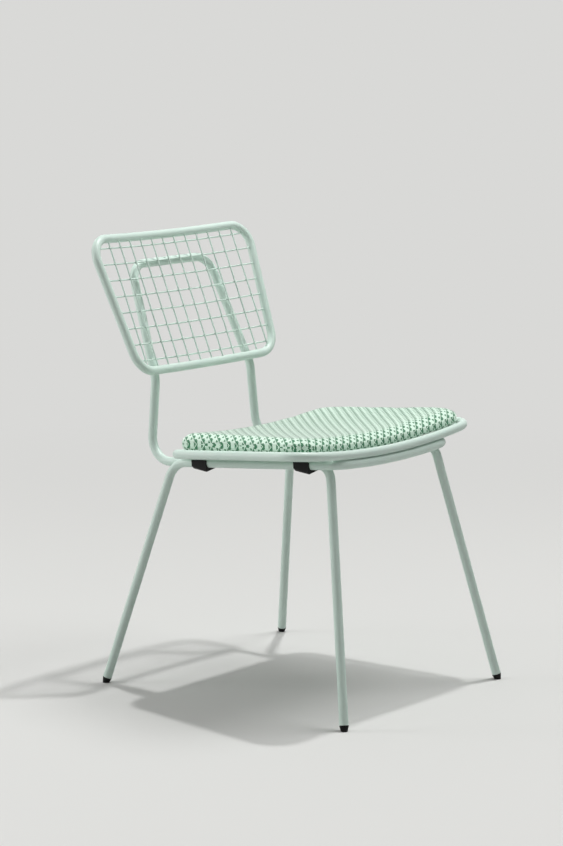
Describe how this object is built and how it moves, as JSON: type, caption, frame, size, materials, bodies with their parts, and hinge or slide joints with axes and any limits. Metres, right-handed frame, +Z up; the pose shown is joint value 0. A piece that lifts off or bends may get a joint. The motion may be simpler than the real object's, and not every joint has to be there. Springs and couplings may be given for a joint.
{
  "type": "wire mesh side chair",
  "caption": "Stacking side chair of bent steel tube with a curved wire mesh seat and backrest in rounded tube rims, splayed legs with plastic feet, and a loose patterned seat cushion.",
  "frame": {"origin": "on the floor, at the middle of the chair's overall width and depth", "axes": "+Z up, the front of the chair faces -Y, +X towards the sitter's left"},
  "size_m": [0.5102, 0.6188, 0.8017],
  "materials": {
    "tube_powder_coat": "pale mint powder coat, satin",
    "wire_powder_coat": "pale mint powder coat, satin",
    "foot_plastic": "moulded black",
    "saddle_plastic": "moulded black",
    "cushion_fabric": "woven, deep green and pale mint broken check",
    "cushion_foam": "cut foam"
  },
  "bodies": {
    "frame": {"front_leg_hoop_tube": "tube_powder_coat", "rear_leg_tube": "tube_powder_coat", "seat_rim": "tube_powder_coat", "back_rim": "tube_powder_coat", "back_upright_wire_01": "wire_powder_coat", "back_upright_wire_02": "wire_powder_coat", "back_upright_wire_03": "wire_powder_coat", "back_upright_wire_04": "wire_powder_coat", "back_upright_wire_05": "wire_powder_coat", "back_upright_wire_06": "wire_powder_coat", "back_upright_wire_07": "wire_powder_coat", "back_upright_wire_08": "wire_powder_coat", "back_upright_wire_09": "wire_powder_coat", "back_upright_wire_10": "wire_powder_coat", "back_upright_wire_11": "wire_powder_coat", "back_upright_wire_12": "wire_powder_coat", "back_cross_wire_01": "wire_powder_coat", "back_cross_wire_02": "wire_powder_coat", "back_cross_wire_03": "wire_powder_coat", "back_cross_wire_04": "wire_powder_coat", "back_cross_wire_05": "wire_powder_coat", "back_cross_wire_06": "wire_powder_coat", "back_cross_wire_07": "wire_powder_coat", "back_cross_wire_08": "wire_powder_coat", "seat_long_wire_01": "wire_powder_coat", "seat_long_wire_02": "wire_powder_coat", "seat_long_wire_03": "wire_powder_coat", "seat_long_wire_04": "wire_powder_coat", "seat_long_wire_05": "wire_powder_coat", "seat_long_wire_06": "wire_powder_coat", "seat_long_wire_07": "wire_powder_coat", "seat_long_wire_08": "wire_powder_coat", "seat_long_wire_09": "wire_powder_coat", "seat_long_wire_10": "wire_powder_coat", "seat_long_wire_11": "wire_powder_coat", "seat_long_wire_12": "wire_powder_coat", "seat_long_wire_13": "wire_powder_coat", "seat_long_wire_14": "wire_powder_coat", "seat_cross_wire_01": "wire_powder_coat", "seat_cross_wire_02": "wire_powder_coat", "seat_cross_wire_03": "wire_powder_coat", "seat_cross_wire_04": "wire_powder_coat", "seat_cross_wire_05": "wire_powder_coat", "seat_cross_wire_06": "wire_powder_coat", "seat_cross_wire_07": "wire_powder_coat", "seat_cross_wire_08": "wire_powder_coat", "seat_cross_wire_09": "wire_powder_coat", "seat_cross_wire_10": "wire_powder_coat", "front_foot_right": "foot_plastic", "front_foot_left": "foot_plastic", "rear_foot_right": "foot_plastic", "rear_foot_left": "foot_plastic", "rear_stacking_saddle_right": "saddle_plastic", "rear_stacking_saddle_left": "saddle_plastic", "front_stacking_saddle_right": "saddle_plastic", "front_stacking_saddle_left": "saddle_plastic"},
    "cushion": {"cushion_cover": "cushion_fabric", "cushion_foam": "cushion_foam"}
  },
  "joints": [
    {"name": "cushion_lift", "type": "slide", "parent": "frame", "child": "cushion", "axis": [0, 0, 1], "range_m": [0, 0.4]}
  ]
}
